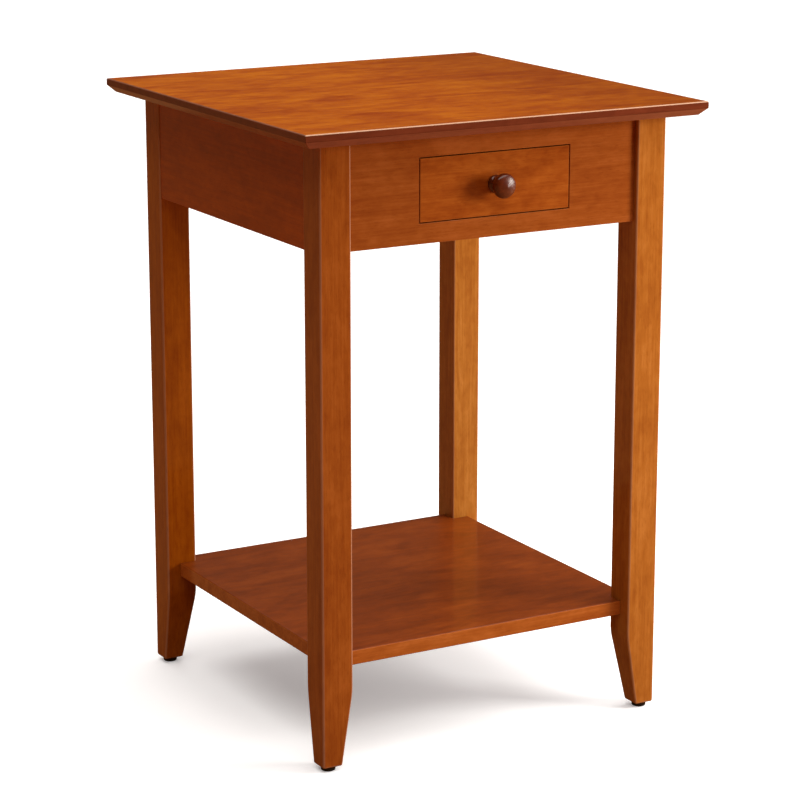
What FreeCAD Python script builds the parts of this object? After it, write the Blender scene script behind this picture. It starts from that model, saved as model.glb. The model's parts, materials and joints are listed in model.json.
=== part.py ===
"""Side table with one drawer and a lower shelf, built piece by piece.

Frame: +Z up, origin on the floor under the middle of the table, the drawer faces -Y.
Sizes are millimetres. Every size that can be set by itself is a named cell of the sheet "Sizes".
"""
import FreeCAD, Part
import math
import os
import re

import Sketcher

Vector = FreeCAD.Vector
UP = (0, 0, 1)
FRONT = (0, -1, 0)
BACK = (0, 1, 0)
RIGHT = (1, 0, 0)
TINY = 1e-6
HALF_ROOT = f"{math.sqrt(0.5):.6f}"

# How far an arc bulges, as a share of its chord.
HALF_TURN = 0.5
QUARTER = math.tan(math.radians(22.5)) / 2
COVE = 0.18
FLARE = 0.12
CROWN = 0.06
# Where the knob's rounded rim meets its dome, as a share of the head's radius.
DOME_SHARE = 0.78
# Eased ends: a dowel's as a share of its radius, a flat screw head's as a share of its radius.
DOWEL_EASE = 0.25
HEAD_FLAT = 0.7
NUT_SIDES = 6
# An edge climbs when it leans less than this from the upright, in degrees.
STEEP = 30

SIZES = {
    # overall
    "overall_height": 610,
    "top_width": 430,
    "top_depth": 430,
    # top
    "top_lip": 6.5,
    "top_bevel": 7,
    "top_overhang": 28.5,
    "top_round": 1.5,
    # legs and glides
    "leg_side": 32,
    "leg_round": 1.8,
    "foot_side": 20.5,
    "taper_height": 71,
    "knee_round": 60,
    "glide_height": 5,
    "glide_diameter": 14,
    "glide_round": 1.5,
    "nail_diameter": 2.4,
    "nail_length": 16,
    # aprons
    "apron_height": 101.5,
    "apron_thickness": 16,
    "apron_round": 0.8,
    "front_recess": 5,
    "side_recess": 1.3,
    "opening_width": 162.6,
    "opening_height": 61,
    "opening_drop": 21.5,
    # shelf
    "shelf_level": 112,
    "shelf_thickness": 14.5,
    "shelf_inset": 13.8,
    "shelf_gap": 0.5,
    "shelf_round": 1,
    # corner blocks and their hardware
    "block_thickness": 24,
    "block_height": 30,
    "block_gap": 6,
    "bolt_diameter": 6,
    "bolt_grip": 26,
    "bolt_tail": 4,
    "nut_flats": 10,
    "nut_thickness": 5,
    "washer_diameter": 16,
    "washer_thickness": 1.5,
    # drawer box
    "drawer_gap": 1,
    "drawer_length": 300,
    "drawer_wall": 10,
    "drawer_front_thickness": 16,
    "drawer_round": 0.6,
    "side_lift": 0.5,
    "side_drop": 1,
    "bottom_thickness": 3,
    "bottom_height": 6,
    "groove_depth": 5,
    "panel_clearance": 0.1,
    # drawer guides
    "run_clearance": 0.3,
    "ledge_width": 15,
    "ledge_thickness": 14,
    "fence_width": 16,
    "fence_height": 14,
    "kicker_width": 18,
    "kicker_gap": 1,
    "stop_length": 20,
    "stop_height": 16,
    "stop_clearance": 0.5,
    # knob
    "knob_base": 17,
    "knob_neck": 10.5,
    "knob_head": 23.5,
    "knob_reach": 21.5,
    "knob_ring": 2,
    "knob_waist": 5.5,
    "knob_edge": 14,
    "knob_crown": 3,
    "knob_dome": 3,
    # turn button
    "button_width": 14,
    "button_reach": 28,
    "button_thickness": 6,
    "button_drop": 20,
    "button_clearance": 0.4,
    # dowels, screws and pins
    "dowel_diameter": 8,
    "dowel_length": 30,
    "dowel_rise": 20,
    "dowel_pitch": 40,
    "end_dowel_bite": 9,
    "joint_rise": 18,
    "joint_pitch": 26,
    "small_dowel_diameter": 6,
    "small_dowel_length": 20,
    "fit_clearance": 0.05,
    "screw_diameter": 4,
    "screw_head": 8,
    "screw_bite": 10,
    "screw_sink": 3,
    "block_screw_bite": 11,
    "button_screw_bite": 7,
    "knob_screw_bite": 11,
    "top_screw_offset": 12,
    "kicker_screw_spread": 110,
    "machine_screw_diameter": 4,
    "machine_head": 8,
    "machine_head_height": 2.5,
    "pin_diameter": 1.6,
    "pin_length": 25,
}

# Places that several pieces share, as formulas in the sizes above.
UNDER_TOP = "(overall_height - top_lip - top_bevel)"
OUT_X = "(top_width / 2 - top_overhang)"
OUT_Y = "(top_depth / 2 - top_overhang)"
IN_X = f"({OUT_X} - leg_side)"
IN_Y = f"({OUT_Y} - leg_side)"
APRON_BOTTOM = f"({UNDER_TOP} - apron_height)"
FRONT_FACE = f"({OUT_Y} - front_recess)"
FRONT_INNER = f"({FRONT_FACE} - apron_thickness)"
BACK_FACE = f"({OUT_Y} - side_recess)"
BACK_INNER = f"({BACK_FACE} - apron_thickness)"
SIDE_FACE = f"({OUT_X} - side_recess)"
SIDE_INNER = f"({SIDE_FACE} - apron_thickness)"
OPENING_TOP = f"({UNDER_TOP} - opening_drop)"
OPENING_BOTTOM = f"({OPENING_TOP} - opening_height)"
OPENING_HALF = "(opening_width / 2)"
FRONT_BOTTOM = f"({OPENING_BOTTOM} + drawer_gap)"
FRONT_HEIGHT = "(opening_height - 2 * drawer_gap)"
BOX_HALF = "(opening_width / 2 - drawer_gap)"
BOX_BOTTOM = f"({FRONT_BOTTOM} + side_lift)"
BOX_HEIGHT = f"({FRONT_HEIGHT} - side_lift - side_drop)"
BOX_START = f"({FRONT_FACE} - drawer_front_thickness)"
BOX_END = f"(drawer_length - {FRONT_FACE})"
BOX_INNER = f"({BOX_HALF} - drawer_wall)"
BACK_PANEL_FACE = f"({BOX_END} - drawer_wall)"
PANEL_LEVEL = f"({BOX_BOTTOM} + bottom_height)"
LEDGE_TOP = f"({BOX_BOTTOM} - run_clearance)"
KNOB_LEVEL = f"({FRONT_BOTTOM} + {FRONT_HEIGHT} / 2)"
BUTTON_LEVEL = f"({OPENING_TOP} - button_drop)"
BLOCK_LEVEL = f"({UNDER_TOP} - block_height / 2)"
# The corner blocks lie between two lines x + y = constant, one past the leg and one further in.
BLOCK_OUTER = f"({IN_X} + {IN_Y} - 2 * {HALF_ROOT} * block_gap)"
BLOCK_INNER = f"({BLOCK_OUTER} - 2 * {HALF_ROOT} * block_thickness)"
# The kickers line up with the opening's sides, and stay clear of the corner blocks.
KICKER_SIDE = f"min({OPENING_HALF}; {BLOCK_INNER} - max({FRONT_INNER}; {BACK_INNER}) - kicker_gap)"
KICKER_MIDDLE = f"({KICKER_SIDE} - kicker_width / 2)"

CORNERS = [("front_left", -1, -1), ("front_right", 1, -1), ("back_right", 1, 1), ("back_left", -1, 1)]
SIDES = [("left", -1), ("right", 1)]


# ---------------------------------------------------------------- document and sizes

doc = FreeCAD.newDocument("side_table")
sheet = doc.addObject("Spreadsheet::Sheet", "Sizes")


def fill_sheet():
    """Write each driving size in the sheet as a number with its name as the alias."""
    for row, (name, number) in enumerate(SIZES.items(), 1):
        sheet.set(f"A{row}", name)
        sheet.set(f"B{row}", str(number))
        sheet.setAlias(f"B{row}", name)
    doc.recompute()


def bound(formula):
    """The formula as another object of the document reads it."""
    return re.sub(r"[a-z]+(_[a-z]+)+", r"Sizes.\g<0>", formula)


def value(formula):
    """The formula's number with the sizes as they are."""
    return float(sheet.evalExpression(formula))


def place(piece, spot, axis=UP, turn=0):
    """Put a piece's own origin at the spot, its own Z along the axis, after a turn about its own Z."""
    rotation = FreeCAD.Rotation(Vector(0, 0, 1), Vector(*axis))
    rotation = rotation.multiply(FreeCAD.Rotation(Vector(0, 0, 1), turn))
    piece.Placement = FreeCAD.Placement(Vector(0, 0, 0), rotation)
    for letter, formula in zip("xyz", spot):
        piece.setExpression(f"Placement.Base.{letter}", bound(formula))


# ---------------------------------------------------------------- drawing helpers

def sketch_on(body, role, name, height="0"):
    """A sketch on one of the body's own origin planes, lifted off it by a height."""
    planes = [feature for feature in body.Origin.OriginFeatures if feature.Role == role]
    sketch = body.newObject("Sketcher::SketchObject", f"{body.Name}_{name}")
    sketch.AttachmentSupport = (planes[0], [""])
    sketch.MapMode = "FlatFace"
    if height != "0":
        sketch.setExpression("AttachmentOffset.Base.z", bound(height))
    return sketch


def pin_point(sketch, edge, end, x, y):
    """Hold one end of a sketch edge at the place that two formulas give."""
    for kind, formula, axis in (("DistanceX", x, -2), ("DistanceY", y, -1)):
        if formula == "0":
            sketch.addConstraint(Sketcher.Constraint("PointOnObject", edge, end, axis))
        else:
            limit = Sketcher.Constraint(kind, -1, 1, edge, end, value(formula))
            number = sketch.addConstraint(limit)
            sketch.setExpression(f"Constraints[{number}]", bound(formula))


def through(before, corner):
    """Formulas of the point that an arc passes half way from the last corner to this one."""
    (x0, y0), (x1, y1, bend) = before[:2], corner
    return (f"(({x0}) + ({x1})) / 2 + {bend} * (({y1}) - ({y0}))",
            f"(({y0}) + ({y1})) / 2 - {bend} * (({x1}) - ({x0}))")


def far_end(sketch, edge, spot):
    """Which end of a sketch edge lies at the spot: an arc may be stored the other way round."""
    return 2 if sketch.getPoint(edge, 2).distanceToPoint(spot) < TINY else 1


def outline(sketch, corners):
    """Close an outline through the corners: (x, y), or (x, y, bend) where an arc arrives.

    The bend is the arc's height as a share of its chord, and bulges to the right of the way travelled.
    """
    spots = [Vector(value(corner[0]), value(corner[1]), 0) for corner in corners]
    ends = []
    for number, corner in enumerate(corners):
        before = spots[number - 1]
        if len(corner) == 3:
            middle = through(corners[number - 1], corner)
            edge = Part.Arc(before, Vector(value(middle[0]), value(middle[1]), 0), spots[number])
        else:
            edge = Part.LineSegment(before, spots[number])
        ends.append(far_end(sketch, sketch.addGeometry(edge, False), spots[number]))
    for number, corner in enumerate(corners):
        following = (number + 1) % len(corners)
        near = 3 - ends[following]
        sketch.addConstraint(Sketcher.Constraint("Coincident", number, ends[number], following, near))
        pin_point(sketch, number, ends[number], *corner[:2])
        if len(corner) == 3:
            middle = through(corners[number - 1], corner)
            mark = sketch.addGeometry(Part.Point(Vector(value(middle[0]), value(middle[1]), 0)), True)
            pin_point(sketch, mark, 1, *middle)
            sketch.addConstraint(Sketcher.Constraint("PointOnObject", mark, 1, number))


def ring(sketch, radius):
    """A circle round the sketch's origin."""
    circle = sketch.addGeometry(Part.Circle(Vector(0, 0, 0), Vector(0, 0, 1), value(radius)), False)
    sketch.addConstraint(Sketcher.Constraint("Coincident", circle, 3, -1, 1))
    number = sketch.addConstraint(Sketcher.Constraint("Radius", circle, value(radius)))
    sketch.setExpression(f"Constraints[{number}]", bound(radius))


def rectangle(sketch, width, height):
    """A rectangle round the sketch's origin."""
    x = f"(({width}) / 2)"
    y = f"(({height}) / 2)"
    outline(sketch, [(f"-{x}", f"-{y}"), (x, f"-{y}"), (x, y), (f"-{x}", y)])


def pad(body, sketch, length):
    """Raise the sketch's outline into a solid."""
    feature = body.newObject("PartDesign::Pad", f"{sketch.Name}_pad")
    feature.Profile = sketch
    feature.setExpression("Length", bound(length))
    doc.recompute()
    return feature


def pocket(body, sketch, length):
    """Cut the sketch's outline out of the body, half the length to each side of the sketch.

    A cut that goes right through is given more length than the body has.
    """
    before = body.Shape.Volume
    feature = body.newObject("PartDesign::Pocket", f"{sketch.Name}_pocket")
    feature.Profile = sketch
    feature.SideType = "Symmetric"
    feature.setExpression("Length", bound(length))
    doc.recompute()
    if body.Shape.Volume > before - TINY:
        raise ValueError(f"{sketch.Name} cuts nothing")
    return feature


def dress(body, kind, size_name, amount, wanted):
    """Round (Fillet) or bevel (Chamfer) the edges that the test picks."""
    doc.recompute()
    base = body.Tip
    names = [f"Edge{n}" for n, edge in enumerate(base.Shape.Edges, 1) if wanted(edge)]
    feature = body.newObject(f"PartDesign::{kind}", f"{base.Name}_{kind.lower()}")
    feature.Base = (base, names)
    feature.setExpression(size_name, bound(amount))
    doc.recompute()
    return feature


def direction(edge):
    """Unit vector from one end of an edge to the other."""
    chord = edge.Vertexes[-1].Point - edge.Vertexes[0].Point
    return chord.normalize() if chord.Length > TINY else chord


def runs_up(edge):
    """True for an edge that climbs more than it travels."""
    return abs(direction(edge).z) > math.cos(math.radians(STEEP))


def lies_at(edge, height):
    """True for an edge that lies flat at a height of the body's own frame."""
    box = edge.BoundBox
    return box.ZLength < TINY and abs(box.ZMin - height) < TINY


def turned(label, corners):
    """A piece turned round its own Z, from an outline of (radius, height) corners."""
    body = doc.addObject("PartDesign::Body", label)
    sketch = sketch_on(body, "XZ_Plane", "outline")
    outline(sketch, corners)
    feature = body.newObject("PartDesign::Revolution", f"{label}_turning")
    feature.Profile = sketch
    feature.ReferenceAxis = (sketch, ["V_Axis"])
    feature.Angle = 360
    doc.recompute()
    return body


def board(label, width, depth, height, spot):
    """A rectangular board that stands on the spot: width along X, depth along Y."""
    body = doc.addObject("PartDesign::Body", label)
    sketch = sketch_on(body, "XY_Plane", "outline")
    rectangle(sketch, width, depth)
    pad(body, sketch, height)
    place(body, spot)
    return body


def spread(label, pattern, spots):
    """One copy of a pattern piece at each (spot, axis), gathered under one label."""
    copies = []
    for number, (spot, axis) in enumerate(spots, 1):
        copy = doc.addObject("App::Link", f"{label}_{number}")
        copy.LinkedObject = pattern
        place(copy, spot, axis)
        copies.append(copy)
    group = doc.addObject("Part::Compound", label)
    group.Links = copies
    return group


def drilled(label, blank, holes):
    """The blank with the holes of its fasteners cut out."""
    piece = blank
    for number, group in enumerate(holes, 1):
        last = number == len(holes)
        cut = doc.addObject("Part::Cut", label if last else f"{label}_cut_{number}")
        cut.Base = piece
        cut.Tool = group
        piece = cut
    return piece


# ---------------------------------------------------------------- fasteners and the holes they need

def stud(label, radius, start, end):
    """A straight round piece from start to end along its own Z, with both ends eased."""
    ease = f"{DOWEL_EASE} * ({radius})"
    neck = f"{radius} - {ease}"
    return turned(label, [(neck, start), (radius, f"{start} + {ease}"), (radius, f"{end} - {ease}"),
                          (neck, end), ("0", end), ("0", start)])


def bore(label, radius, start, end):
    """The space of a hole from start to end along its own Z."""
    return turned(label, [(radius, start), (radius, end), ("0", end), ("0", start)])


def point(radius, length):
    """The last corners of a shank: a tip that narrows over one diameter."""
    return [(radius, f"{length} - 2 * ({radius})"), ("0", length)]


def sunk_screw(label, length):
    """A wood screw with a countersunk head, its head's face at its origin."""
    shank = "screw_diameter / 2"
    head = "screw_head / 2"
    return turned(label, [("0", "0"), (head, "0"), (shank, f"{head} - {shank}")] + point(shank, length))


def sunk_hole(label, length, depth="0"):
    """The hole of a countersunk screw, opened to the head's width for a depth behind the head."""
    shank = "(screw_diameter / 2 + fit_clearance)"
    head = "(screw_head / 2 + fit_clearance)"
    cone = [(head, "0"), (shank, f"{head} - {shank}"), (shank, length), ("0", length)]
    mouth = [("0", "0")] if depth == "0" else [("0", f"-({depth})"), (head, f"-({depth})")]
    return turned(label, mouth + cone)


def flat_screw(label, shank, head, height, length):
    """A screw whose head sits on the surface, its shank's start at its origin."""
    crown = f"-({height})"
    return turned(label, [("0", crown), (f"{HEAD_FLAT} * {head}", crown), (head, f"{crown} / 2"),
                          (head, "0"), (shank, "0")] + point(shank, length))


def at_corners(x, y, z):
    """The same upright place at all four corners, as distances from the middle."""
    return [((f"{sx} * ({x})", f"{sy} * ({y})", z), UP) for _, sx, sy in CORNERS]


def leg_bolt_spots():
    """One bolt through each corner block, along the diagonal into the leg's inner arris."""
    return [((f"{sx} * {IN_X}", f"{sy} * {IN_Y}", BLOCK_LEVEL), (sx, sy, 0)) for _, sx, sy in CORNERS]


def top_screw_spots():
    """One screw up through each corner block, beside its bolt."""
    middle = f"{HALF_ROOT} * (block_gap + block_thickness / 2)"
    shift = f"{HALF_ROOT} * top_screw_offset"
    return at_corners(f"{IN_X} - {middle} + {shift}", f"{IN_Y} - {middle} - {shift}",
                      f"{UNDER_TOP} - block_height")


def shelf_dowel_spots():
    """One dowel in each notch, level, between the shelf and the leg's inner face."""
    y = f"({IN_Y} + {OUT_Y} - shelf_inset) / 2"
    return [((f"{sx} * {IN_X}", f"{sy} * {y}", "shelf_level - shelf_thickness / 2"), RIGHT)
            for _, sx, sy in CORNERS]


def apron_dowel_spots():
    """Two dowels across each joint of apron and leg."""
    rows = [f"({APRON_BOTTOM} + dowel_rise)", f"({APRON_BOTTOM} + dowel_rise + dowel_pitch)"]
    spots = []
    for z in rows:
        for _, sx, sy in CORNERS:
            middle = f"({FRONT_INNER if sy < 0 else BACK_INNER} + apron_thickness / 2)"
            spots.append(((f"{sx} * {IN_X}", f"{sy} * {middle}", z), RIGHT))
            spots.append(((f"{sx} * ({SIDE_INNER} + apron_thickness / 2)", f"{sy} * {IN_Y}", z), FRONT))
    return spots


def block_screw_spots():
    """One screw into each of the two aprons that a corner block joins."""
    diagonal = f"(({BLOCK_OUTER} + {BLOCK_INNER}) / 2)"
    seat = f"({HALF_ROOT} * block_thickness - screw_sink)"
    spots = []
    for _, sx, sy in CORNERS:
        inner = FRONT_INNER if sy < 0 else BACK_INNER
        side_spot = (f"{sx} * ({SIDE_INNER} - {seat})", f"{sy} * ({diagonal} - {SIDE_INNER})", BLOCK_LEVEL)
        end_spot = (f"{sx} * ({diagonal} - {inner})", f"{sy} * ({inner} - {seat})", BLOCK_LEVEL)
        spots.append((side_spot, (sx, 0, 0)))
        spots.append((end_spot, (0, sy, 0)))
    return spots


def runner_dowel_spots():
    """One dowel at each end of each runner."""
    x = f"({OPENING_HALF} + fence_width / 2)"
    z = f"({LEDGE_TOP} - ledge_thickness / 2)"
    reach = "(end_dowel_bite - small_dowel_length / 2)"
    return [((f"{sx} * {x}", f"{sy} * ({FRONT_INNER if sy < 0 else BACK_INNER} + {reach})", z), FRONT)
            for _, sx, sy in CORNERS]


def drawer_joint_spots(x, y, axis):
    """Two places, one above the other, at the left and at the right side of the drawer."""
    rows = [f"({BOX_BOTTOM} + joint_rise)", f"({BOX_BOTTOM} + joint_rise + joint_pitch)"]
    return [((f"{sx} * ({x})", y, z), axis(sx)) for _, sx in SIDES for z in rows]


def make_dowels():
    """The round wooden pins: (label, pin, hole, spots)."""
    half = "dowel_length / 2"
    small_half = "small_dowel_length / 2"
    radius = "dowel_diameter / 2"
    small_radius = "small_dowel_diameter / 2"
    dowel = stud("dowel", radius, f"-{half}", half)
    hole = bore("dowel_hole", f"{radius} + fit_clearance", f"-{half}", half)
    small = stud("small_dowel", small_radius, f"-{small_half}", small_half)
    small_hole = bore("small_dowel_hole", f"{small_radius} + fit_clearance", f"-{small_half}", small_half)
    front_joint = drawer_joint_spots(f"{BOX_HALF} - drawer_wall / 2",
                                     f"-({BOX_START} + end_dowel_bite - small_dowel_length / 2)",
                                     lambda sx: FRONT)
    return [("apron_dowels", dowel, hole, apron_dowel_spots()),
            ("shelf_dowels", dowel, hole, shelf_dowel_spots()),
            ("runner_dowels", small, small_hole, runner_dowel_spots()),
            ("front_dowels", small, small_hole, front_joint)]


def make_wood_screws():
    """The countersunk screws of the frame: (label, screw, hole, spots)."""
    kicker_spots = at_corners(KICKER_MIDDLE, "kicker_screw_spread", OPENING_TOP)
    kinds = [("top", "(block_height + screw_bite)", "0", top_screw_spots()),
             ("kicker", "(opening_drop + screw_bite)", "0", kicker_spots),
             ("block", f"({HALF_ROOT} * block_thickness - screw_sink + block_screw_bite)",
              "block_thickness", block_screw_spots())]
    return [(f"{name}_screws", sunk_screw(f"{name}_screw", length),
             sunk_hole(f"{name}_screw_hole", length, depth), spots) for name, length, depth, spots in kinds]


def make_drawer_hardware():
    """The pins of the drawer's back, and the screws of its knob and its turn button."""
    pin = "pin_diameter / 2"
    back_joint = drawer_joint_spots(BOX_HALF, f"{BOX_END} - drawer_wall / 2", lambda sx: (-sx, 0, 0))
    pins = ("back_pins", turned("back_pin", [("0", "0"), (pin, "0")] + point(pin, "pin_length")),
            bore("back_pin_hole", f"{pin} + fit_clearance", "0", "pin_length"), back_joint)
    button_room = "(2 * button_clearance + button_thickness)"
    knob_spot = ("0", f"-{BOX_START}", KNOB_LEVEL)
    button_spot = ("0", f"{BACK_PANEL_FACE} - {button_room}", BUTTON_LEVEL)
    kinds = [("knob", "machine_screw_diameter / 2", "(drawer_front_thickness + knob_screw_bite)",
              (knob_spot, FRONT)),
             ("button", "screw_diameter / 2", f"({button_room} + button_screw_bite)",
              (button_spot, BACK))]
    screws = [(f"{name}_screw",
               flat_screw(f"{name}_screw_pattern", shank, "machine_head / 2", "machine_head_height", length),
               bore(f"{name}_screw_hole", f"{shank} + fit_clearance", "0", length), [spot])
              for name, shank, length, spot in kinds]
    return [pins] + screws


def make_leg_bolts():
    """The bolts that draw the legs in, with their holes, and each bolt's washer and nut."""
    radius = "bolt_diameter / 2"
    bore_radius = f"{radius} + fit_clearance"
    washer_radius = "washer_diameter / 2"
    seat = "(block_gap + block_thickness)"
    washer_back = f"({seat} + washer_thickness)"
    nut_back = f"({washer_back} + nut_thickness)"
    tail = f"({nut_back} + bolt_tail)"
    bolts = ("leg_bolts", stud("leg_bolt", radius, f"-{tail}", "bolt_grip"),
             bore("leg_bolt_hole", bore_radius, f"-{tail}", "bolt_grip"), leg_bolt_spots())
    washer = turned("leg_washer", [(bore_radius, f"-{seat}"), (washer_radius, f"-{seat}"),
                                   (washer_radius, f"-{washer_back}"), (bore_radius, f"-{washer_back}")])
    loose = {"leg_washers": spread("leg_washers", washer, leg_bolt_spots()),
             "leg_nuts": spread("leg_nuts", make_nut(f"-{nut_back}"), leg_bolt_spots())}
    return bolts, loose


def make_fasteners():
    """Draw each fastener and its hole once, and place both at the same spots.

    Returns the finished pieces by label and the groups of holes by the fastener's label.
    """
    bolts, pieces = make_leg_bolts()
    holes = {}
    for label, pattern, hole, spots in make_dowels() + make_wood_screws() + make_drawer_hardware() + [bolts]:
        pieces[label] = spread(label, pattern, spots)
        holes[label] = spread(f"{label}_holes", hole, spots)
    nail_hole = bore("nail_hole", "nail_diameter / 2 + fit_clearance", "0", "nail_length")
    nail_spots = at_corners(f"{OUT_X} - foot_side / 2", f"{OUT_Y} - foot_side / 2", "glide_height")
    holes["nails"] = spread("nail_holes", nail_hole, nail_spots)
    return pieces, holes


def make_nut(start):
    """A hexagonal nut on its own Z, from the start up."""
    body = doc.addObject("PartDesign::Body", "leg_nut")
    sketch = sketch_on(body, "XY_Plane", "outline", start)
    radius = f"nut_flats / {2 * math.cos(math.pi / NUT_SIDES):.5f}"
    turns = [2 * math.pi * side / NUT_SIDES for side in range(NUT_SIDES)]
    outline(sketch, [(f"{radius} * {math.cos(turn):.5f}", f"{radius} * {math.sin(turn):.5f}")
                     for turn in turns])
    ring(sketch, "bolt_diameter / 2 + fit_clearance")
    pad(body, sketch, "nut_thickness")
    return body


# ---------------------------------------------------------------- top, legs and aprons

def make_tabletop():
    """A square board: a thin upright lip above a bevel that runs in to the underside."""
    thickness = "top_lip + top_bevel"
    body = board("tabletop_blank", "top_width", "top_depth", thickness, ("0", "0", UNDER_TOP))
    dress(body, "Chamfer", "Size", "top_bevel", lambda edge: lies_at(edge, 0))
    upper = value(thickness)
    dress(body, "Fillet", "Radius", "top_round", lambda edge: lies_at(edge, upper) or runs_up(edge))
    return body


def make_leg(corner, sx, sy, turn):
    """A square leg whose two inner faces taper to the foot, with a soft knee and eased arrises."""
    centre = (f"{sx} * ({OUT_X} - leg_side / 2)", f"{sy} * ({OUT_Y} - leg_side / 2)", "glide_height")
    body = board(f"leg_{corner}_blank", "leg_side", "leg_side", f"{UNDER_TOP} - glide_height", centre)
    place(body, centre, UP, turn)
    wedge = [("foot_side - leg_side / 2", "0"), ("leg_side / 2", "0"), ("leg_side / 2", "taper_height")]
    for role in ("XZ_Plane", "YZ_Plane"):
        sketch = sketch_on(body, role, f"taper_{role[:2]}")
        outline(sketch, wedge)
        pocket(body, sketch, "2 * leg_side")
    knee = value("taper_height")
    dress(body, "Fillet", "Radius", "knee_round", lambda edge: lies_at(edge, knee))
    dress(body, "Fillet", "Radius", "leg_round", runs_up)
    return body


def make_glide(corner, sx, sy):
    """A round foot with a nail that goes up into the leg."""
    rim = "glide_diameter / 2"
    nail = "nail_diameter / 2"
    tip = "(glide_height + nail_length)"
    body = turned(f"glide_{corner}", [
        ("0", "0"), (f"{rim} - glide_round", "0"), (rim, "glide_round", QUARTER), (rim, "glide_height"),
        (nail, "glide_height"), (nail, f"{tip} - nail_diameter"), ("0", tip)])
    place(body, (f"{sx} * ({OUT_X} - foot_side / 2)", f"{sy} * ({OUT_Y} - foot_side / 2)", "0"))
    return body


def make_apron(label, width, depth, spot):
    """A plain apron with its lower edges eased."""
    body = board(f"{label}_blank", width, depth, "apron_height", spot)
    dress(body, "Fillet", "Radius", "apron_round",
          lambda edge: lies_at(edge, 0) and edge.Length > value("2 * apron_thickness"))
    return body


def make_front_apron():
    """The front apron, with the opening that the drawer closes."""
    body = make_apron("front_apron", f"2 * {IN_X}", "apron_thickness",
                      ("0", f"-({FRONT_INNER} + apron_thickness / 2)", APRON_BOTTOM))
    sketch = sketch_on(body, "XZ_Plane", "opening")
    low = f"({OPENING_BOTTOM} - {APRON_BOTTOM})"
    high = f"({OPENING_TOP} - {APRON_BOTTOM})"
    side = OPENING_HALF
    outline(sketch, [(f"-{side}", low), (side, low), (side, high), (f"-{side}", high)])
    pocket(body, sketch, "2 * apron_thickness")
    return body


def make_shelf():
    """The lower shelf, its corners notched to pass between the legs."""
    body = doc.addObject("PartDesign::Body", "shelf_blank")
    sketch = sketch_on(body, "XY_Plane", "outline")
    far_x = f"({OUT_X} - shelf_inset)"
    far_y = f"({OUT_Y} - shelf_inset)"
    near_y = f"({IN_Y} - shelf_gap)"
    quarter = [(far_x, near_y), (IN_X, near_y), (IN_X, far_y)]
    corners = quarter + [(f"-{x}", y) for x, y in reversed(quarter)]
    corners += [(f"-{x}", f"-{y}") for x, y in quarter] + [(x, f"-{y}") for x, y in reversed(quarter)]
    outline(sketch, corners)
    pad(body, sketch, "shelf_thickness")
    top = value("shelf_thickness")
    reach = 2 * value("shelf_inset")
    dress(body, "Fillet", "Radius", "shelf_round",
          lambda edge: edge.Length > reach and (lies_at(edge, 0) or lies_at(edge, top)))
    place(body, ("0", "0", "shelf_level - shelf_thickness"))
    return body


def make_corner_block(corner, sx, sy):
    """A block across the corner, flush with the backs of both aprons and clear of the leg's arris."""
    inner = FRONT_INNER if sy < 0 else BACK_INNER
    corners = [(SIDE_INNER, f"({BLOCK_OUTER} - {SIDE_INNER})"),
               (SIDE_INNER, f"({BLOCK_INNER} - {SIDE_INNER})"),
               (f"({BLOCK_INNER} - {inner})", inner), (f"({BLOCK_OUTER} - {inner})", inner)]
    body = doc.addObject("PartDesign::Body", f"corner_block_{corner}_blank")
    sketch = sketch_on(body, "XY_Plane", "outline")
    outline(sketch, [(f"{sx} * {x}", f"{sy} * {y}") for x, y in corners])
    pad(body, sketch, "block_height")
    place(body, ("0", "0", f"{UNDER_TOP} - block_height"))
    return body


# ---------------------------------------------------------------- drawer and its guides

def groove(body, role, low_side, high_side, length, level):
    """A groove for the drawer's bottom, along the whole board."""
    sketch = sketch_on(body, role, "groove")
    top = f"({level} + bottom_thickness + panel_clearance)"
    outline(sketch, [(low_side, level), (high_side, level), (high_side, top), (low_side, top)])
    pocket(body, sketch, length)


def make_drawer_front():
    """The drawer's face, flush with the apron, with a groove for the bottom in its back."""
    body = board("drawer_front_blank", f"2 * {BOX_HALF}", "drawer_front_thickness", FRONT_HEIGHT,
                 ("0", f"-({FRONT_FACE} - drawer_front_thickness / 2)", FRONT_BOTTOM))
    face = value("drawer_front_thickness") / 2
    dress(body, "Fillet", "Radius", "drawer_round",
          lambda edge: abs(edge.BoundBox.YMax + face) < TINY)
    back = "drawer_front_thickness / 2"
    groove(body, "YZ_Plane", f"{back} - groove_depth", back, f"2 * ({BOX_INNER} + groove_depth)",
           "(side_lift + bottom_height)")
    return body


def make_drawer_side(name, sx):
    """A drawer side, from the front's back to the end of the box."""
    body = board(f"drawer_{name}_side_blank", "drawer_wall", f"{BOX_START} + {BOX_END}", BOX_HEIGHT,
                 (f"{sx} * ({BOX_HALF} - drawer_wall / 2)", f"({BOX_END} - {BOX_START}) / 2", BOX_BOTTOM))
    inner = [f"{-sx} * drawer_wall / 2", f"{-sx} * (drawer_wall / 2 - groove_depth)"]
    low_side, high_side = inner if sx > 0 else reversed(inner)
    groove(body, "XZ_Plane", low_side, high_side, "2 * drawer_length", "bottom_height")
    return body


def make_drawer_back():
    """The back of the box, between the sides."""
    body = board("drawer_back_blank", f"2 * {BOX_INNER}", "drawer_wall", BOX_HEIGHT,
                 ("0", f"{BOX_END} - drawer_wall / 2", BOX_BOTTOM))
    groove(body, "YZ_Plane", "-drawer_wall / 2", "groove_depth - drawer_wall / 2", f"4 * {BOX_INNER}",
           "bottom_height")
    return body


def make_drawer_bottom():
    """The thin panel in the grooves of the front, sides and back."""
    tongue = "(groove_depth - panel_clearance)"
    front = f"({BOX_START} + {tongue})"
    back = f"({BACK_PANEL_FACE} + {tongue})"
    return board("drawer_bottom", f"2 * ({BOX_INNER} + {tongue})", f"{front} + {back}", "bottom_thickness",
                 ("0", f"({back} - {front}) / 2", PANEL_LEVEL))


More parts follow.
